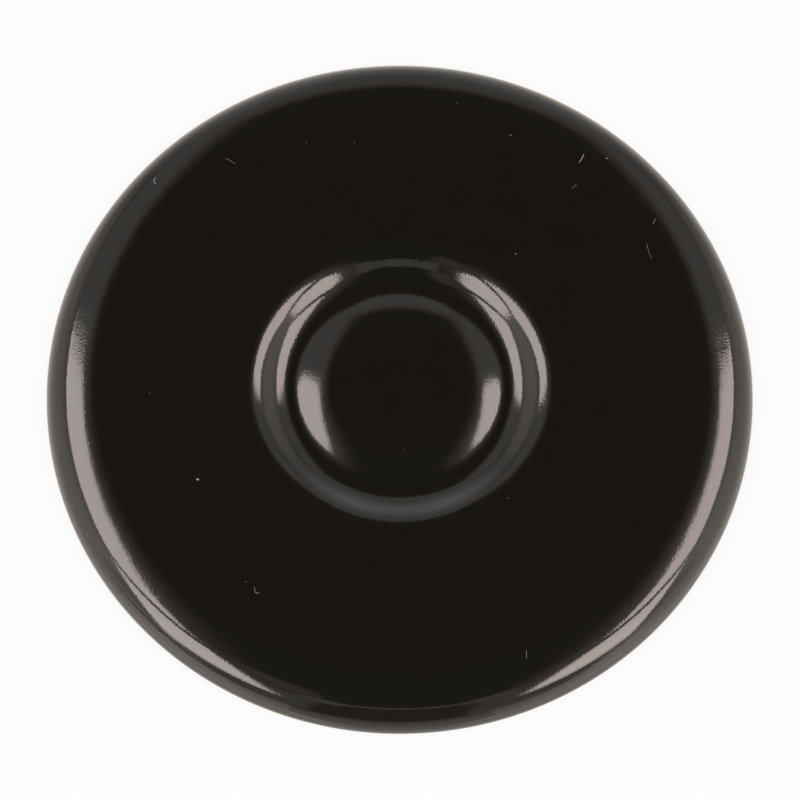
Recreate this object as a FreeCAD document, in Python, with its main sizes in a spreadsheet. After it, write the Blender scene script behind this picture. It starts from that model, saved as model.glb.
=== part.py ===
# Gas burner cap: a shallow steel pressing, vitreous enamelled, all in one piece.
#
# It is a round lid with a flat top. The edge rolls over into a short skirt, and a shallow
# groove pressed round the middle leaves a low round button. The wall is one sheet, so the
# underside repeats the top: a flat ring seats on the burner head, the back of the groove
# stands down inside that ring as the bead that centres the cap, and the rim overhangs
# the flame ports.
#
# Frame: millimetres, +Z up along the cap's axis, origin in the middle of the skirt's foot.

import FreeCAD
import Part
import Sketcher
import math
import os

# Driving dimensions in millimetres and degrees: alias, value, what it measures
DIMENSIONS = [
    ("cap_diameter", 75.0, "outside of the skirt"),
    ("cap_height", 4.45, "foot of the skirt to the flat top"),
    ("wall", 1.6, "sheet with its enamel on both sides"),
    ("flat_diameter", 64.5, "where the flat top starts to fall towards the rim"),
    ("rim_lead_radius", 11.8, "first, gentle bend of the rim"),
    ("rim_nose_radius", 3.35, "second, tight bend of the rim, down into the skirt"),
    ("lip_diameter", 33.65, "where the flat top starts to fall into the groove"),
    ("lip_lead_radius", 7.0, "first, gentle bend of the groove's lip"),
    ("lip_radius", 3.65, "second, tighter bend of the groove's lip"),
    ("groove_wall_angle", 33.9, "slope of the groove's outer wall"),
    ("groove_diameter", 22.8, "circle along the groove's lowest line"),
    ("groove_depth", 1.75, "flat top down to the groove's lowest line"),
    ("groove_floor_radius", 4.0, "hollow bend along the groove's floor"),
    ("button_height", 0.7, "groove's lowest line up to the button's flat"),
    ("button_shoulder_radius", 11.6, "bend from the groove's floor onto the button"),
    ("edge_round", 0.45, "enamel rounding along the skirt's trimmed foot"),
]
SIZE = {alias: value for alias, value, meaning in DIMENSIONS}

CAP = "burner_cap"
FULL_TURN = 360
LIP_LEAD_SHARE = 0.25  # first guess of how much of the lip's turn its gentle bend takes
START, END, CENTRE = 1, 2, 3  # the points of a sketch line or arc
ORIGIN = -1  # the sketch's own origin, with START
FLAT_TOLERANCE = 1e-6


def make_sheet(doc):
    """The spreadsheet that every size is bound to."""
    sheet = doc.addObject("Spreadsheet::Sheet", "dimensions")
    for row, (alias, value, meaning) in enumerate(DIMENSIONS, start=1):
        sheet.set(f"A{row}", alias)
        sheet.set(f"B{row}", str(value))
        sheet.set(f"C{row}", meaning)
        sheet.setAlias(f"B{row}", alias)
    doc.recompute()


def origin_plane(body, role):
    return next(feature for feature in body.Origin.OriginFeatures if feature.Role == role)


def point_on(centre, radius, angle_deg):
    angle = math.radians(angle_deg)
    return (centre[0] + radius * math.cos(angle), centre[1] + radius * math.sin(angle))


def arc(centre, radius, low_deg, high_deg):
    """Arc drawn anticlockwise, as a sketch keeps it, between two angles from +X."""
    circle = Part.Circle(FreeCAD.Vector(*centre, 0), FreeCAD.Vector(0, 0, 1), radius)
    return Part.ArcOfCircle(circle, math.radians(low_deg), math.radians(high_deg))


def line(start, end):
    return Part.LineSegment(FreeCAD.Vector(*start[:2], 0), FreeCAD.Vector(*end[:2], 0))


def section_curves():
    """The half section's lines and arcs where they start out, from the axis to the skirt and back."""
    edge = SIZE["cap_diameter"] / 2
    top = SIZE["cap_height"]
    slope = SIZE["groove_wall_angle"]
    floor_radius = SIZE["groove_floor_radius"]
    shoulder_radius = SIZE["button_shoulder_radius"]
    lip_radius, lip_lead_radius = SIZE["lip_radius"], SIZE["lip_lead_radius"]
    nose_radius, rim_lead_radius = SIZE["rim_nose_radius"], SIZE["rim_lead_radius"]

    rim_reach = edge - SIZE["flat_diameter"] / 2
    rim_turn = math.degrees(math.asin((rim_reach - nose_radius) / (rim_lead_radius - nose_radius)))
    button_turn = math.degrees(math.acos(1 - SIZE["button_height"] / (floor_radius + shoulder_radius)))
    lip_turn = LIP_LEAD_SHARE * slope

    floor_centre = (SIZE["groove_diameter"] / 2, top - SIZE["groove_depth"] + floor_radius)
    shoulder_centre = point_on(floor_centre, floor_radius + shoulder_radius, 270 - button_turn)
    lip_lead_centre = (SIZE["lip_diameter"] / 2, top - lip_lead_radius)
    lip_centre = point_on(lip_lead_centre, lip_lead_radius - lip_radius, 90 + lip_turn)
    rim_lead_centre = (SIZE["flat_diameter"] / 2, top - rim_lead_radius)
    nose_centre = point_on(rim_lead_centre, rim_lead_radius - nose_radius, 90 - rim_turn)

    shoulder = arc(shoulder_centre, shoulder_radius, 90 - button_turn, 90)
    floor = arc(floor_centre, floor_radius, 270 - button_turn, 270 + slope)
    lip = arc(lip_centre, lip_radius, 90 + lip_turn, 90 + slope)
    lip_lead = arc(lip_lead_centre, lip_lead_radius, 90, 90 + lip_turn)
    rim_lead = arc(rim_lead_centre, rim_lead_radius, 90 - rim_turn, 90)
    rim_nose = arc(nose_centre, nose_radius, 0, 90 - rim_turn)
    button_middle = (0, shoulder.EndPoint.y)
    return {
        "button_top": line(button_middle, shoulder.EndPoint),
        "shoulder": shoulder,
        "floor": floor,
        "wall": line(floor.EndPoint, lip.EndPoint),
        "lip": lip,
        "lip_lead": lip_lead,
        "flat": line(lip_lead.StartPoint, rim_lead.EndPoint),
        "rim_lead": rim_lead,
        "rim_nose": rim_nose,
        "skirt": line(rim_nose.StartPoint, (edge, 0)),
        "base": line((edge, 0), (0, 0)),
        "axis": line((0, 0), button_middle),
    }


def draw_section(doc, body):
    """Half section of the solid that the top covers, fully constrained to the sheet."""
    sketch = body.newObject("Sketcher::SketchObject", "top_section")
    sketch.AttachmentSupport = [(origin_plane(body, "XZ_Plane"), "")]
    sketch.MapMode = "FlatFace"
    doc.recompute()

    curves = section_curves()
    index = dict(zip(curves, sketch.addGeometry(list(curves.values()), False)))

    def hold(kind, *places):
        named = [index.get(place, place) for place in places]
        return sketch.addConstraint(Sketcher.Constraint(kind, *named))

    def bind(expression, kind, *places):
        sketch.setExpression(f"Constraints[{hold(kind, *places)}]", expression)

    # Every bend runs smoothly into its neighbours, from the button out to the skirt
    hold("Tangent", "button_top", END, "shoulder", END)
    hold("Tangent", "shoulder", START, "floor", START)
    hold("Tangent", "floor", END, "wall", START)
    hold("Tangent", "wall", END, "lip", END)
    hold("Tangent", "lip", START, "lip_lead", END)
    hold("Tangent", "lip_lead", START, "flat", START)
    hold("Tangent", "flat", END, "rim_lead", END)
    hold("Tangent", "rim_lead", START, "rim_nose", END)
    hold("Tangent", "rim_nose", START, "skirt", START)

    # The foot and the axis close the section
    hold("Coincident", "skirt", END, "base", START)
    hold("Coincident", "base", END, "axis", START)
    hold("Coincident", "axis", END, "button_top", START)
    hold("Coincident", "base", END, ORIGIN, START)
    for level in ("button_top", "flat", "base"):
        hold("Horizontal", level)
    for upright in ("skirt", "axis"):
        hold("Vertical", upright)

    for bend, alias in (
        ("shoulder", "button_shoulder_radius"),
        ("floor", "groove_floor_radius"),
        ("lip", "lip_radius"),
        ("lip_lead", "lip_lead_radius"),
        ("rim_lead", "rim_lead_radius"),
        ("rim_nose", "rim_nose_radius"),
    ):
        bind(f"dimensions.{alias}", "Radius", bend, SIZE[alias])
    for curve, point, alias in (
        ("skirt", END, "cap_diameter"),
        ("flat", END, "flat_diameter"),
        ("flat", START, "lip_diameter"),
        ("floor", CENTRE, "groove_diameter"),
    ):
        bind(f"dimensions.{alias} / 2", "DistanceX", ORIGIN, START, curve, point, SIZE[alias] / 2)
    bind("dimensions.cap_height", "DistanceY", ORIGIN, START, "flat", END, SIZE["cap_height"])
    bind("dimensions.groove_floor_radius - dimensions.groove_depth", "DistanceY",
         "flat", START, "floor", CENTRE, SIZE["groove_floor_radius"] - SIZE["groove_depth"])
    bind("dimensions.groove_depth - dimensions.button_height", "DistanceY",
         "button_top", START, "flat", START, SIZE["groove_depth"] - SIZE["button_height"])
    bind("dimensions.groove_wall_angle * 1deg", "Angle", "wall", math.radians(SIZE["groove_wall_angle"]))
    doc.recompute()
    if not sketch.FullyConstrained:
        raise RuntimeError("the section is not fully constrained")
    return sketch


def level_faces(shape, height):
    """Names of the flat faces that lie at one height."""
    return [
        f"Face{number}"
        for number, face in enumerate(shape.Faces, start=1)
        if face.BoundBox.ZLength < FLAT_TOLERANCE and abs(face.BoundBox.ZMin - height) < FLAT_TOLERANCE
    ]


def foot_edges(shape):
    """Names of the outer and inner rings where the skirt was trimmed."""
    return [
        f"Edge{number}"
        for number, edge in enumerate(shape.Edges, start=1)
        if edge.BoundBox.ZMax < FLAT_TOLERANCE
    ]


def make_cap(doc):
    """Spin the section, press it into a sheet from below and round the trimmed foot."""
    body = doc.addObject("PartDesign::Body", CAP)
    sketch = draw_section(doc, body)

    form = body.newObject("PartDesign::Revolution", "pressed_form")
    form.Profile = sketch
    form.ReferenceAxis = (sketch, ["V_Axis"])
    form.Angle = FULL_TURN
    doc.recompute()

    sheet_wall = body.newObject("PartDesign::Thickness", "sheet_wall")
    sheet_wall.Base = (form, level_faces(form.Shape, 0))
    sheet_wall.setExpression("Value", "dimensions.wall")
    sheet_wall.Mode = "Skin"
    sheet_wall.Join = "Arc"
    sheet_wall.Reversed = True  # the wall grows inwards, under the top
    doc.recompute()

    foot = body.newObject("PartDesign::Fillet", "foot_rounding")
    foot.Base = (sheet_wall, foot_edges(sheet_wall.Shape))
    foot.setExpression("Radius", "dimensions.edge_round")
    doc.recompute()
    body.Tip = foot
    body.Label = CAP
    return body


def check(doc, bodies):
    for thing in doc.Objects:
        if "Invalid" in thing.State or "Error" in thing.State:
            raise RuntimeError(f"{thing.Label} did not compute: {thing.State}")
    for body in bodies:
        shape = body.Shape
        if shape.isNull() or not shape.isValid() or len(shape.Solids) != 1:
            raise RuntimeError(f"{body.Label} is not one valid solid")
        box = shape.optimalBoundingBox()
        print(f"{body.Label}: {shape.Volume:.1f} mm3, {box.XLength:.3f} x {box.YLength:.3f} x {box.ZLength:.3f} mm")


def main():
    doc = FreeCAD.newDocument("gas_burner_cap")
    make_sheet(doc)
    bodies = [make_cap(doc)]
    doc.recompute()
    check(doc, bodies)
    os.makedirs("parts", exist_ok=True)
    for body in bodies:
        body.Shape.exportStep(os.path.join("parts", f"{body.Label}.step"))


main()
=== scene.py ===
# Gas burner cap: a black enamelled steel pressing, photographed from above in a small light tent
import bpy
import math
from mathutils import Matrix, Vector


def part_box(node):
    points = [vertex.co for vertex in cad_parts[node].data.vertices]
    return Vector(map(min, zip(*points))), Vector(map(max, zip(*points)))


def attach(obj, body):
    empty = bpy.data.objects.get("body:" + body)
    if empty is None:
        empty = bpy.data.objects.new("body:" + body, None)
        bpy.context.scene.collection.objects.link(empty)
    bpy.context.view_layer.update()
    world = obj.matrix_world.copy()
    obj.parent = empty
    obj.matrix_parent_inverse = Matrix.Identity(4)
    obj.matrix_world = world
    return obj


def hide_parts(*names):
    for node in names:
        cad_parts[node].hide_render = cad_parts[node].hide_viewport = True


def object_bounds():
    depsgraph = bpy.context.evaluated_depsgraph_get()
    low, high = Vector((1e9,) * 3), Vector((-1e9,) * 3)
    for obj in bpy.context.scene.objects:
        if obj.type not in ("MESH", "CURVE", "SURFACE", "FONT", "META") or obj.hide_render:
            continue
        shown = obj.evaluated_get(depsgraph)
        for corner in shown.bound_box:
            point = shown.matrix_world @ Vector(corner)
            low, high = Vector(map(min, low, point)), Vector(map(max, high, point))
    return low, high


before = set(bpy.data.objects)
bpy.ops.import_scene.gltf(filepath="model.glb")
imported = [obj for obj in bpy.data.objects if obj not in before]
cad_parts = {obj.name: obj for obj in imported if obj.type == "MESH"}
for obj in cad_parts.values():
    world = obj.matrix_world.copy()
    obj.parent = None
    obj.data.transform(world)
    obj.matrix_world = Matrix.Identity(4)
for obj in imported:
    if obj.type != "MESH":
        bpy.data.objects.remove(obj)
cadLow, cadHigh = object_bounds()
mm = 0.001


def deselectAll():
    bpy.ops.object.select_all(action="DESELECT")


def linearColour(hexText):
    parts = [int(hexText[i:i + 2], 16) / 255 for i in (1, 3, 5)]
    return [c / 12.92 if c <= 0.04045 else ((c + 0.055) / 1.055) ** 2.4 for c in parts] + [1.0]


def addNode(tree, kind, inputs=None, **settings):
    node = tree.nodes.new(kind)
    for name, value in settings.items():
        setattr(node, name, value)
    for socket, value in (inputs or {}).items():
        if isinstance(value, bpy.types.NodeSocket):
            tree.links.new(value, node.inputs[socket])
        else:
            node.inputs[socket].default_value = value
    return node


def newMaterial(name):
    material = bpy.data.materials.new(name)
    material.use_nodes = True
    material.node_tree.nodes.clear()
    return material, material.node_tree


# The enamel

enamel = {
    "black": "#110F0D",
    "blackWarm": "#13110E",
    "mottleSize": 3.0,      # mm, faint patches in the fired colour
    "peelSize": 0.18,       # mm, orange peel left by the sprayed glass
    "peelHeight": 0.0054,   # mm
    "waveSize": 2.6,        # mm, slow unevenness under the peel
    "waveHeight": 0.012,    # mm
    "roughness": 0.085,
    "ior": 1.5,
    "dust": "#918C86",
    "dustRoughness": 0.8,
    "speckSpacing": 5.5,    # mm
    "speckWidth": 0.075,    # mm
    "speckShare": 0.2,      # of the places that could hold a speck
    "speckSmallest": 0.4,   # share of the widest speck
    "groundWarm": "#24211D",
    "groundHeight": 0.01,   # mm, coarse skin of the thin coat under the cap
    "groundRoughness": 0.3,
}

# fibres and crumbs on the top: width, then points along each, all in mm right and far of the middle
lint = {
    "rimCurl": (0.08, [(-26.1, 23.5), (-26.3, 23.1), (-26.1, 22.7)]),
    "backLeft": (0.022, [(-18.7, 25.6), (-18.0, 25.2), (-17.6, 24.9)]),
    "backRight": (0.07, [(19.7, 26.0), (19.5, 25.5), (19.2, 25.1)]),
    "backRightShort": (0.025, [(18.9, 22.5), (18.4, 22.1)]),
    "sideRightShort": (0.03, [(27.3, 18.6), (27.0, 18.0)]),
    "sideRight": (0.022, [(26.3, 15.8), (26.5, 14.8), (26.8, 14.1)]),
    "frontLeft": (0.035, [(-15.2, -22.7), (-15.1, -23.3), (-14.7, -23.4)]),
    "frontRight": (0.03, [(13.2, -29.7), (13.2, -30.5)]),
    "crumbLeft": (0.19, [(-21.3, -10.8), (-21.2, -10.8)]),
    "crumbMiddle": (0.065, [(12.3, 14.6), (12.4, 14.6)]),
    "crumbBack": (0.05, [(11.8, 28.2), (12.0, 28.2)]),
    "crumbBackRight": (0.065, [(22.1, 25.6), (22.3, 25.6)]),
}


def addLint(tree, place):
    # 1 on a fibre or crumb, seen from above, and 0 beside it
    fromAbove = addNode(tree, "ShaderNodeMapping", {
        "Vector": place, "Scale": (1 / mm, 1 / mm, 0)}).outputs["Vector"]
    nearest = None
    for width, points in lint.values():
        for start, end in zip(points, points[1:]):
            run = Vector((*end, 0)) - Vector((*start, 0))
            fromStart = addNode(tree, "ShaderNodeVectorMath", {
                0: fromAbove, 1: (*start, 0)}, operation="SUBTRACT").outputs["Vector"]
            along = addNode(tree, "ShaderNodeVectorMath", {
                0: fromStart, 1: run.normalized()}, operation="DOT_PRODUCT").outputs["Value"]
            within = addNode(tree, "ShaderNodeClamp", {"Value": along, "Max": run.length}).outputs["Result"]
            beside = addNode(tree, "ShaderNodeVectorMath", {
                0: run.normalized(), "Scale": within}, operation="SCALE").outputs["Vector"]
            gap = addNode(tree, "ShaderNodeVectorMath", {
                0: fromStart, 1: beside}, operation="DISTANCE").outputs["Value"]
            outside = addNode(tree, "ShaderNodeMath", {
                0: gap, 1: width / 2}, operation="SUBTRACT").outputs["Value"]
            nearest = outside if nearest is None else addNode(tree, "ShaderNodeMath", {
                0: nearest, 1: outside}, operation="MINIMUM").outputs["Value"]
    return addNode(tree, "ShaderNodeMath", {0: nearest, 1: 0.0}, operation="LESS_THAN").outputs["Value"]


def addSpecks(tree, place):
    # fine dust, only where the surface faces up
    facing = addNode(tree, "ShaderNodeSeparateXYZ", {
        "Vector": addNode(tree, "ShaderNodeNewGeometry").outputs["Normal"]})
    level = addNode(tree, "ShaderNodeMath", {0: facing.outputs["Z"], 1: 0.5}, operation="GREATER_THAN")
    cells = addNode(tree, "ShaderNodeTexVoronoi", {
        "Vector": place, "Scale": 1 / (enamel["speckSpacing"] * mm)}, voronoi_dimensions="2D")
    chance = addNode(tree, "ShaderNodeSeparateXYZ", {"Vector": cells.outputs["Color"]})
    held = addNode(tree, "ShaderNodeMath", {
        0: chance.outputs["X"], 1: enamel["speckShare"]}, operation="LESS_THAN")
    radius = enamel["speckWidth"] / 2 / enamel["speckSpacing"]  # in cells
    size = addNode(tree, "ShaderNodeMapRange", {
        "Value": chance.outputs["Y"], "To Min": enamel["speckSmallest"] * radius, "To Max": radius})
    spot = addNode(tree, "ShaderNodeMath", {
        0: cells.outputs["Distance"], 1: size.outputs["Result"]}, operation="LESS_THAN")
    lying = addNode(tree, "ShaderNodeMath", {
        0: held.outputs["Value"], 1: spot.outputs["Value"]}, operation="MULTIPLY")
    return addNode(tree, "ShaderNodeMath", {
        0: lying.outputs["Value"], 1: level.outputs["Value"]}, operation="MULTIPLY").outputs["Value"]


def makeGlossEnamel():
    # vitreous enamel, sprayed and fired: black glass, mirror bright, with a fine orange peel
    # that frays the edges of reflections, and a little dust and lint lying on it
    material, tree = newMaterial("blackVitreousEnamel")
    place = addNode(tree, "ShaderNodeTexCoord").outputs["Object"]
    mottle = addNode(tree, "ShaderNodeTexNoise", {
        "Vector": place, "Scale": 1 / (enamel["mottleSize"] * mm), "Detail": 3.0})
    black = addNode(tree, "ShaderNodeMix", {
        "Factor": mottle.outputs["Fac"], "A": linearColour(enamel["black"]),
        "B": linearColour(enamel["blackWarm"])}, data_type="RGBA")
    dust = addNode(tree, "ShaderNodeMath", {
        0: addLint(tree, place), 1: addSpecks(tree, place)}, operation="MAXIMUM").outputs["Value"]
    colour = addNode(tree, "ShaderNodeMix", {
        "Factor": dust, "A": black.outputs["Result"], "B": linearColour(enamel["dust"])}, data_type="RGBA")
    gloss = addNode(tree, "ShaderNodeMapRange", {
        "Value": dust, "To Min": enamel["roughness"], "To Max": enamel["dustRoughness"]})
    peel = addNode(tree, "ShaderNodeTexNoise", {
        "Vector": place, "Scale": 1 / (enamel["peelSize"] * mm), "Detail": 1.0, "Roughness": 0.4})
    wave = addNode(tree, "ShaderNodeTexNoise", {
        "Vector": place, "Scale": 1 / (enamel["waveSize"] * mm), "Detail": 1.0})
    waveBump = addNode(tree, "ShaderNodeBump", {
        "Height": wave.outputs["Fac"], "Distance": enamel["waveHeight"] * mm, "Strength": 1.0})
    peelBump = addNode(tree, "ShaderNodeBump", {
        "Height": peel.outputs["Fac"], "Distance": enamel["peelHeight"] * mm, "Strength": 1.0,
        "Normal": waveBump.outputs["Normal"]})
    shader = addNode(tree, "ShaderNodeBsdfPrincipled", {
        "Base Color": colour.outputs["Result"], "Roughness": gloss.outputs["Result"], "IOR": enamel["ior"],
        "Normal": peelBump.outputs["Normal"]})
    addNode(tree, "ShaderNodeOutputMaterial", {"Surface": shader.outputs["BSDF"]})
    return material


def makeGroundEnamel():
    # the same enamel in one thin coat under the cap: duller, with a coarser skin
    material, tree = newMaterial("groundCoatEnamel")
    place = addNode(tree, "ShaderNodeTexCoord").outputs["Object"]
    mottle = addNode(tree, "ShaderNodeTexNoise", {
        "Vector": place, "Scale": 1 / (enamel["mottleSize"] * mm), "Detail": 4.0})
    black = addNode(tree, "ShaderNodeMix", {
        "Factor": mottle.outputs["Fac"], "A": linearColour(enamel["black"]),
        "B": linearColour(enamel["groundWarm"])}, data_type="RGBA")
    skin = addNode(tree, "ShaderNodeTexNoise", {
        "Vector": place, "Scale": 1 / (enamel["peelSize"] * mm), "Detail": 3.0})
    skinBump = addNode(tree, "ShaderNodeBump", {
        "Height": skin.outputs["Fac"], "Distance": enamel["groundHeight"] * mm, "Strength": 1.0})
    shader = addNode(tree, "ShaderNodeBsdfPrincipled", {
        "Base Color": black.outputs["Result"], "Roughness": enamel["groundRoughness"], "IOR": enamel["ior"],
        "Normal": skinBump.outputs["Normal"]})
    addNode(tree, "ShaderNodeOutputMaterial", {"Surface": shader.outputs["BSDF"]})
    return material


# The cap: half its section is extruded point by point, spun, and given the sheet's thickness

cap = {
    "wall": 1.6,                    # mm, all of these but the angles and counts
    "flatDiameter": 64.5,
    "rimLeadRadius": 11.8,
    "rimNoseRadius": 3.35,
    "lipDiameter": 33.65,
    "lipLeadRadius": 7.0,
    "lipRadius": 3.65,
    "grooveWallAngle": 33.9,        # degrees
    "grooveDiameter": 22.8,
    "grooveDepth": 1.75,
    "grooveFloorRadius": 4.0,
    "buttonHeight": 0.7,
    "buttonShoulderRadius": 11.6,
    "footRounding": 0.45,
    "footSegments": 6,
    "footSharpness": 60,            # degrees, and only edges sharper than this are rounded
    "turnSteps": 288,
    "bendStep": 2.0,                # degrees between rings round a bend
    "flatStep": 2.5,                # mm between rings on a flat
    "holdingRing": 0.15,            # mm from the end of a flat to the ring that keeps it flat
    "mergeGap": 0.001,
}


def sectionMoves(radius):
    # straights (length) and bends (radius, turn up positive), from the axis out to the skirt's foot
    slope = math.radians(cap["grooveWallAngle"])
    floorR, shoulderR = cap["grooveFloorRadius"], cap["buttonShoulderRadius"]
    lipR, leadR = cap["lipRadius"], cap["lipLeadRadius"]
    noseR, rimR = cap["rimNoseRadius"], cap["rimLeadRadius"]
    grooveR, lipStart = cap["grooveDiameter"] / 2, cap["lipDiameter"] / 2
    flatEnd = cap["flatDiameter"] / 2

    buttonTurn = math.acos(1 - cap["buttonHeight"] / (floorR + shoulderR))
    buttonFlat = grooveR - (floorR + shoulderR) * math.sin(buttonTurn)
    # the lip's gentle bend and the straight wall take up what the other bends leave
    across = lipStart - grooveR - floorR * math.sin(slope)
    down = cap["grooveDepth"] - floorR * (1 - math.cos(slope))
    rest = across * math.sin(slope) - down * math.cos(slope) - lipR + leadR * math.cos(slope)
    leadTurn = slope - math.acos(rest / (leadR - lipR))
    lipAcross = leadR * math.sin(leadTurn) + lipR * (math.sin(slope) - math.sin(leadTurn))
    wallLength = (across - lipAcross) / math.cos(slope)
    rimTurn = math.asin((radius - flatEnd - noseR) / (rimR - noseR))
    rimDrop = rimR * (1 - math.cos(rimTurn)) + noseR * math.cos(rimTurn)
    quarter = math.pi / 2
    return [
        (buttonFlat, None),
        (shoulderR, -buttonTurn),
        (floorR, buttonTurn + slope),
        (wallLength, None),
        (lipR, leadTurn - slope),
        (leadR, -leadTurn),
        (flatEnd - lipStart, None),
        (rimR, -rimTurn),
        (noseR, rimTurn - quarter),
        (cap["height"] - rimDrop, None),
    ]


def sectionSteps(radius):
    # the same moves cut into small steps (out, up) in mm
    heading = 0.0
    steps = []
    moves = sectionMoves(radius)
    for number, (size, turn) in enumerate(moves, start=1):
        if turn is None:
            hold = min(cap["holdingRing"], size / 4)
            count = max(1, round((size - 2 * hold) / cap["flatStep"]))
            lengths = [hold] + [(size - 2 * hold) / count] * count + [hold]
            if number == len(moves):
                lengths = [hold, size - hold]  # the skirt's lower end is left to the foot's rounding
            for length in lengths:
                steps.append((length * math.cos(heading), length * math.sin(heading)))
        else:
            count = max(2, round(abs(math.degrees(turn)) / cap["bendStep"]))
            chord = 2 * size * math.sin(abs(turn) / count / 2)
            for i in range(count):
                middle = heading + turn * (i + 0.5) / count
                steps.append((chord * math.cos(middle), chord * math.sin(middle)))
            heading += turn
    return steps


def makeCap(node):
    low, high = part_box(node)
    radius = (high.x - low.x) / 2 / mm
    cap["height"] = (high.z - low.z) / mm
    buttonTop = cap["height"] - cap["grooveDepth"] + cap["buttonHeight"]

    deselectAll()
    bpy.ops.mesh.primitive_plane_add(size=mm, location=(0, 0, buttonTop * mm))
    piece = bpy.context.object
    piece.name = "burnerCap"
    bpy.ops.object.transform_apply(location=True, rotation=True, scale=True)
    bpy.ops.object.mode_set(mode="EDIT")
    bpy.ops.mesh.select_all(action="SELECT")
    bpy.ops.mesh.merge(type="CENTER")  # one point, on the axis
    for out, up in sectionSteps(radius):
        bpy.ops.mesh.extrude_region_move(TRANSFORM_OT_translate={"value": (out * mm, 0, up * mm)})
    bpy.ops.mesh.select_all(action="SELECT")
    bpy.ops.mesh.spin(steps=cap["turnSteps"], angle=2 * math.pi, center=(0, 0, 0), axis=(0, 0, 1))
    bpy.ops.mesh.select_all(action="SELECT")
    bpy.ops.mesh.remove_doubles(threshold=cap["mergeGap"] * mm)
    bpy.ops.mesh.normals_make_consistent(inside=False)
    bpy.ops.object.mode_set(mode="OBJECT")
    middle = min(piece.data.polygons, key=lambda face: face.center.xy.length)
    if middle.normal.z < 0:
        piece.data.flip_normals()

    piece.data.materials.append(makeGlossEnamel())
    piece.data.materials.append(makeGroundEnamel())
    sheet = piece.modifiers.new("sheet", "SOLIDIFY")
    sheet.thickness = cap["wall"] * mm
    sheet.offset = -1
    sheet.use_even_offset = True
    sheet.material_offset = 1
    bpy.ops.object.modifier_apply(modifier=sheet.name)
    foot = piece.modifiers.new("foot", "BEVEL")
    foot.width = cap["footRounding"] * mm
    foot.segments = cap["footSegments"]
    foot.limit_method = "ANGLE"
    foot.angle_limit = math.radians(cap["footSharpness"])
    bpy.ops.object.modifier_apply(modifier=foot.name)
    bpy.ops.object.shade_smooth()
    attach(piece, "root")
    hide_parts(node)
    print("cap:", len(piece.data.polygons), "faces")
    return piece


# The stage: a pale table, plain light from all round, and the light tent that the enamel mirrors

stage = {
    "table": "#FBFBFB",
    "tableSize": 8,          # m
    "tableDrop": 0.01,       # mm below the foot
    "tableWhite": 0.85,      # how much of the table's shade the lens loses
    "tableMirrored": 1.5,    # how much brighter the table is in the enamel than to the eye
    "tableRoughness": 0.3,
    "tableIor": 1.3,
    "air": "#FFFFFF",
    "airLight": 0.5,
    "lamps": {               # place and size in m, watts
        "softLeft": ((-0.55, -0.1, 0.5), 0.5, 0.8),
        "softRight": ((0.55, -0.1, 0.5), 0.5, 0.8),
        "softOverhead": ((0.0, -0.3, 0.8), 0.6, 2.7),
    },
}

tent = {
    "distance": 0.527,       # m from the cap's top to its light panels
    "halfWidth": 0.56,
    "back": 0.80,
    "front": -0.56,
    "height": 0.60,
    "lowEnd": (0.58, 0.68),  # share of a lower panel's depth over which its low end stops
    "lowReach": (0.4928, 0.4955),  # m from a surface over which the low end fades out there
    "lowGrowth": 0.0137,     # m by which that reach grows over the panel's depth
    "lowGlow": (0.35, 10),   # glow beyond that, and the most before it
    "clothDivisions": 12,
    "floorShadeHeight": 0.2,        # mm above the foot
    "frontGlow": 0.65,
    "roofGlow": [("Y", -0.3, 0.4, 0.6, 0.77)],
    "sideGlow": [("Y", -0.1, 0.8, 1.94, 0.68), ("Z", 0, 0.12, 0.92, 1), ("Z", 0.28, 0.58, 1, 0.6)],
    "backGlow": [("Z", 0, 0.6, 1.08, 0.68), ("X", -0.52, -0.24, 0.72, 1.08), ("X", -0.16, -0.04, 1, 0.87),
                 ("X", 0.04, 0.16, 1, 1.15), ("X", 0.24, 0.52, 1, 0.67)],
    "panelTintLeft": "#FFF2ED",
    "panelTintRight": "#FFEFEA",
    "wallTint": "#FFF6EB",
    "roofTint": "#FFFBF3",
    "backTint": "#FFFEFA",
    "slotTint": "#FFEEDD",
    "darkTint": "#FFDDCB",
    "floorShadeTint": "#FBE6DC",
}

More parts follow.
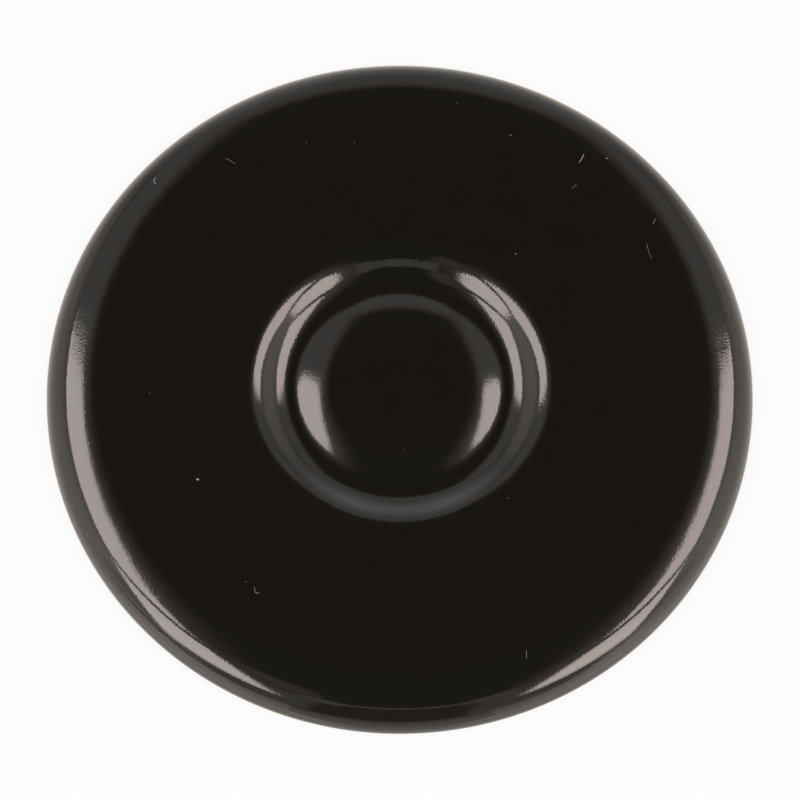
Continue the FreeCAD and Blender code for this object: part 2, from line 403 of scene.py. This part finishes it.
# glow is brightness against paper white: one number, or ramps (axis, start, end, glow at each)
# along a patch's own width X and depth Y, of which pick says which counts
# corners are in degrees right and far of straight up: far left, far right, near right, near left
# reach is the share of the tent's distance at which a patch hangs
# a patch that fades shows its low end only in what stands nearest to it, the rim
tentPatches = {
    "panelUpperLeft": {"tint": "panelTintLeft", "glow": 8.6, "reach": 1.0,
                       "corners": [(-40.4, 28.8), (-17.4, 20.4), (-28.3, -16.4), (-51.1, -9)]},
    "panelUpperRight": {"tint": "panelTintRight", "glow": 8.7, "reach": 1.0,
                        "corners": [(21.2, 20.4), (43.2, 27.4), (53.5, -9.5), (29, -17.1)]},
    "panelLowerLeft": {"tint": "panelTintLeft", "reach": 1.0, "pick": "MINIMUM", "fades": True,
                       "glow": [("Y", 0, 0.25, 6, 9.2), ("Y", 0.45, 1, 9.2, 8.7)],
                       "corners": [(-54.3, -12.6), (-29.6, -24), (-33.4, -64.8), (-68, -48.8)]},
    "panelLowerRight": {"tint": "panelTintRight", "reach": 1.0, "pick": "MINIMUM", "fades": True,
                        "glow": [("Y", 0, 0.25, 6, 9.7), ("Y", 0.45, 1, 9.7, 8.6)],
                        "corners": [(30.5, -25.3), (54.9, -13.9), (66.5, -49.1), (33.5, -65.4)]},
    "shadeLeft": {"tint": "wallTint", "glow": [("Y", 0, 1, 0.62, 1.42)], "reach": 1.03,
                  "corners": [(-84, -22), (-58, -22), (-38, -63), (-56, -73)]},
    "shadeRight": {"tint": "wallTint", "glow": [("Y", 0, 1, 0.62, 1.5)], "reach": 1.03,
                   "corners": [(58, -22), (83, -22), (55, -72), (38, -63)]},
    "roofSlotFar": {"tint": "slotTint", "reach": 1.02,
                    "glow": [("X", 0, 0.15, 0.76, 0.11), ("X", 0.81, 1, 0.11, 0.76),
                             ("Y", 0.75, 0.89, 0.11, 0.68)],
                    "corners": [(-16.4, 47), (20.2, 47), (17.6, 20), (-13.8, 20)]},
    "roofSlotNear": {"tint": "slotTint", "reach": 1.02,
                     "glow": [("X", 0, 0.19, 0.57, 0.105), ("X", 0.82, 1, 0.105, 0.57)],
                     "corners": [(-13.8, 20), (17.6, 20), (26.5, -43.8), (-32, -43.8)]},
    "slotStrip": {"tint": "slotTint", "glow": 0.53, "reach": 1.0,
                  "corners": [(-20.5, -14), (-11, -14), (-12.5, -36), (-24, -40)]},
    "cameraHole": {"tint": "darkTint", "glow": 0.075, "reach": 1.0,
                   "corners": [(-6.5, 26.5), (7, 26.5), (7, 13.5), (-6.5, 13.5)]},
    "frontBar": {"tint": "wallTint", "glow": 0.85, "reach": 1.0,
                 "corners": [(-13.5, -43.8), (15, -43.8), (15, -48.2), (-13.5, -48.2)]},
    "barEndLeft": {"tint": "wallTint", "glow": 0.8, "reach": 1.0,
                   "corners": [(-20, -39), (-11.8, -40.5), (-12, -51.5), (-19, -53)]},
    "barEndRight": {"tint": "wallTint", "glow": 0.78, "reach": 1.0,
                    "corners": [(13.4, -38.7), (21, -37), (23, -49), (14.4, -50.5)]},
    "openingTop": {"tint": "darkTint", "glow": 0.235, "reach": 1.02,
                   "corners": [(-13.5, -48.2), (15.5, -48.2), (18, -56), (-19.5, -56)]},
    "opening": {"tint": "darkTint", "glow": 0.235, "reach": 1.02,
                "corners": [(-19.5, -56), (18, -56), (24, -97), (-36, -97)]},
}

# painted shade on the floor in front, shown only in the enamel's reflections: tint, glow, corners in m
# right and far of the middle
floorShadeInEnamel = {
    "paintedFloorShadeMiddle": ("floorShadeTint", [("Y", -0.068, -0.0425, 0.27, 1.05)],
                  [(-0.013, -0.0384), (0.011, -0.0384), (-0.24, tent["front"]), (0.16, tent["front"])]),
    "paintedFloorShadeLeft": ("slotTint", 0.74, [(-0.052, -0.0295), (-0.019, -0.057), (-0.56, -0.32), (-0.18, -0.56)]),
    "paintedFloorShadeRight": ("slotTint", 0.9, [(0.0135, -0.0585), (0.036, -0.048), (0.13, -0.56), (0.42, -0.56)]),
    "paintedFloorShadeFarRight": ("slotTint", 1.7, [(0.045, -0.06), (0.063, -0.041), (0.42, -0.56), (0.56, -0.364)]),
}

# the floor's shade right beside the skirt, deeper in front: radius in m, height in mm
contactShade = {"radius": 0.0385, "height": 0.3, "corners": 96, "glow": [("Y", -0.03, 0.02, 0.8, 1.2)]}


def glowMaterial(name, hexText, glow, space="Object", pick="MULTIPLY", fades=False):
    # cloth lit from behind, whose low end may light only what stands near it
    material, tree = newMaterial(name)
    strength = glow
    if isinstance(glow, list):
        place = addNode(tree, "ShaderNodeSeparateXYZ", {
            "Vector": addNode(tree, "ShaderNodeTexCoord").outputs[space]})
        strength = None
        for axis, start, end, near, far in glow:
            ramp = addNode(tree, "ShaderNodeMapRange", {
                "Value": place.outputs[axis], "From Min": start, "From Max": end,
                "To Min": near, "To Max": far}).outputs["Result"]
            strength = ramp if strength is None else addNode(tree, "ShaderNodeMath", {
                0: strength, 1: ramp}, operation=pick).outputs["Value"]
    if fades:
        (lowStart, lowStop), (fadeStart, fadeEnd) = tent["lowEnd"], tent["lowReach"]
        least, most = tent["lowGlow"]
        away = addNode(tree, "ShaderNodeMath", {
            0: place.outputs["Y"], 1: -tent["lowGrowth"],
            2: addNode(tree, "ShaderNodeLightPath").outputs["Ray Length"]}, operation="MULTIPLY_ADD")
        near = addNode(tree, "ShaderNodeMapRange", {
            "Value": away.outputs["Value"],
            "From Min": fadeStart, "From Max": fadeEnd, "To Min": most, "To Max": least}).outputs["Result"]
        high = addNode(tree, "ShaderNodeMapRange", {
            "Value": place.outputs["Y"], "From Min": lowStart, "From Max": lowStop,
            "To Min": least, "To Max": most}).outputs["Result"]
        limit = addNode(tree, "ShaderNodeMath", {0: near, 1: high}, operation="MAXIMUM").outputs["Value"]
        strength = addNode(tree, "ShaderNodeMath", {
            0: strength, 1: limit}, operation="MINIMUM").outputs["Value"]
    light = addNode(tree, "ShaderNodeEmission", {"Color": linearColour(hexText), "Strength": strength})
    addNode(tree, "ShaderNodeOutputMaterial", {"Surface": light.outputs["Emission"]})
    return material


def onlyMirrored(piece):
    # the tent shows in the enamel's reflections and lights nothing else
    piece.visible_camera = False
    piece.visible_diffuse = False
    piece.visible_shadow = False


def makePatch(name, patch, centre):
    deselectAll()
    bpy.ops.mesh.primitive_grid_add(size=1, x_subdivisions=tent["clothDivisions"],
                                    y_subdivisions=tent["clothDivisions"])
    cloth = bpy.context.object
    cloth.name = name
    farLeft, farRight, nearRight, nearLeft = [Vector(corner) for corner in patch["corners"]]
    for vertex in cloth.data.vertices:
        u, v = vertex.co.x + 0.5, vertex.co.y + 0.5
        aim = nearLeft.lerp(nearRight, u).lerp(farLeft.lerp(farRight, u), v)
        lean = math.radians(aim.length)
        side = aim.normalized() if aim.length else Vector((0, 0))
        ray = Vector((side.x * math.sin(lean), side.y * math.sin(lean), math.cos(lean)))
        vertex.co = centre + ray * tent["distance"] * patch["reach"]
    pick = patch.get("pick", "MAXIMUM")
    cloth.data.materials.append(glowMaterial(
        name, tent[patch["tint"]], patch["glow"], "UV", pick, patch.get("fades", False)))
    onlyMirrored(cloth)


def makeTentWall(name, tint, glow, corners):
    deselectAll()
    bpy.ops.mesh.primitive_plane_add(size=1)
    wall = bpy.context.object
    wall.name = name
    for vertex, corner in zip(wall.data.vertices, corners):
        vertex.co = corner
    wall.data.materials.append(glowMaterial(name, tent[tint], glow))
    onlyMirrored(wall)


def makeContactShade():
    deselectAll()
    bpy.ops.mesh.primitive_circle_add(
        vertices=contactShade["corners"], radius=contactShade["radius"], fill_type="NGON")
    shade = bpy.context.object
    shade.name = "contactShade"
    for vertex in shade.data.vertices:
        vertex.co.z = contactShade["height"] * mm
    shade.data.materials.append(glowMaterial("contactShade", tent["wallTint"], contactShade["glow"]))
    onlyMirrored(shade)


def makeTent(centre):
    x, back, front, top = tent["halfWidth"], tent["back"], tent["front"], tent["height"]
    makeTentWall("tentLeft", "wallTint", tent["sideGlow"],
                 [(-x, front, 0), (-x, back, 0), (-x, front, top), (-x, back, top)])
    makeTentWall("tentRight", "wallTint", tent["sideGlow"],
                 [(x, front, 0), (x, back, 0), (x, front, top), (x, back, top)])
    makeTentWall("tentBack", "backTint", tent["backGlow"],
                 [(-x, back, 0), (x, back, 0), (-x, back, top), (x, back, top)])
    makeTentWall("tentFront", "wallTint", tent["frontGlow"],
                 [(-x, front, 0), (x, front, 0), (-x, front, top), (x, front, top)])
    makeTentWall("tentRoof", "roofTint", tent["roofGlow"],
                 [(-x, front, top), (x, front, top), (-x, back, top), (x, back, top)])
    # painted floor shade: sheets just above the table that darken the floor only where the enamel mirrors
    # it
    for name, (tint, glow, corners) in floorShadeInEnamel.items():
        makeTentWall(name, tint, glow, [(*corner, tent["floorShadeHeight"] * mm) for corner in corners])
    makeContactShade()
    for name, patch in tentPatches.items():
        makePatch(name, patch, centre)
    print("tent:", len(tentPatches), "patches and", len(floorShadeInEnamel), "mats")


def makeTable():
    deselectAll()
    bpy.ops.mesh.primitive_plane_add(
        size=stage["tableSize"], location=(0, 0, cadLow.z - stage["tableDrop"] * mm))
    table = bpy.context.object
    table.name = "table"
    material, tree = newMaterial("paleTable")
    rays = addNode(tree, "ShaderNodeLightPath")
    mirrored = [part * stage["tableMirrored"] for part in linearColour(tent["wallTint"])]
    colour = addNode(tree, "ShaderNodeMix", {
        "Factor": rays.outputs["Is Glossy Ray"], "A": linearColour(stage["table"]), "B": mirrored},
        data_type="RGBA")
    paint = addNode(tree, "ShaderNodeBsdfDiffuse", {"Color": colour.outputs["Result"]})
    sheen = addNode(tree, "ShaderNodeBsdfAnisotropic", {"Roughness": stage["tableRoughness"]})
    edge = addNode(tree, "ShaderNodeFresnel", {"IOR": stage["tableIor"]})
    inEnamel = addNode(tree, "ShaderNodeMath", {
        0: edge.outputs["Fac"], 1: rays.outputs["Is Glossy Ray"]}, operation="MULTIPLY")
    surface = addNode(tree, "ShaderNodeMixShader", {
        "Fac": inEnamel.outputs["Value"], 1: paint.outputs["BSDF"], 2: sheen.outputs["BSDF"]})
    # to the camera the table is nearly white paper, and keeps part of its shadow
    white = addNode(tree, "ShaderNodeEmission", {"Strength": 1.0, "Color": (1, 1, 1, 1)})
    toLens = addNode(tree, "ShaderNodeMath", {
        0: rays.outputs["Is Camera Ray"], 1: stage["tableWhite"]}, operation="MULTIPLY")
    shader = addNode(tree, "ShaderNodeMixShader", {
        "Fac": toLens.outputs["Value"], 1: surface.outputs["Shader"], 2: white.outputs["Emission"]})
    addNode(tree, "ShaderNodeOutputMaterial", {"Surface": shader.outputs["Shader"]})
    table.data.materials.append(material)
    print("table:", stage["tableSize"], "m wide")


def makeLight():
    world = bpy.data.worlds.new("airAllRound")
    bpy.context.scene.world = world
    world.use_nodes = True
    background = world.node_tree.nodes["Background"]
    background.inputs["Color"].default_value = linearColour(stage["air"])
    background.inputs["Strength"].default_value = stage["airLight"]
    for name, (place, size, watts) in stage["lamps"].items():
        lamp = bpy.data.lights.new(name, "AREA")
        lamp.energy = watts
        lamp.size = size
        lampObject = bpy.data.objects.new(name, lamp)
        lampObject.location = place
        lampObject.rotation_euler = (-lampObject.location).to_track_quat("-Z", "Y").to_euler()
        lampObject.visible_glossy = False
        bpy.context.scene.collection.objects.link(lampObject)
    print("light: air all round and", len(stage["lamps"]), "soft lamps")


# The camera looks down on the cap from in front

camera = {
    "elevation": 70.12,      # degrees above the table
    "distance": 0.7145,      # m from the middle of the cap's top
    "focal": 304.18,         # mm
    "sensor": 36,            # mm
    "clipStart": 0.01,       # m
    "aimBelow": 1.812,       # mm from the middle of the top down to the middle of the frame
    "aimRight": 0.032,       # mm
}


def makeCamera(centre):
    lean = math.radians(camera["elevation"])
    back = Vector((0, -math.cos(lean), math.sin(lean)))
    up = Vector((0, math.sin(lean), math.cos(lean)))
    lens = bpy.data.cameras.new("camera")
    lens.sensor_width = camera["sensor"]
    lens.lens = camera["focal"]
    lens.clip_start = camera["clipStart"]
    cameraObject = bpy.data.objects.new("camera", lens)
    bpy.context.scene.collection.objects.link(cameraObject)
    cameraObject.location = centre + back * camera["distance"]
    aim = centre - up * camera["aimBelow"] * mm + Vector((camera["aimRight"] * mm, 0, 0))
    cameraObject.rotation_euler = (aim - cameraObject.location).to_track_quat("-Z", "Y").to_euler()
    bpy.context.scene.camera = cameraObject
    print("camera:", camera["elevation"], "degrees above the table")


capTop = Vector((0, 0, cadHigh.z))
makeCap("burner_cap")
makeTable()
makeLight()
makeTent(capTop)
makeCamera(capTop)
bpy.context.scene.view_settings.view_transform = "Standard"
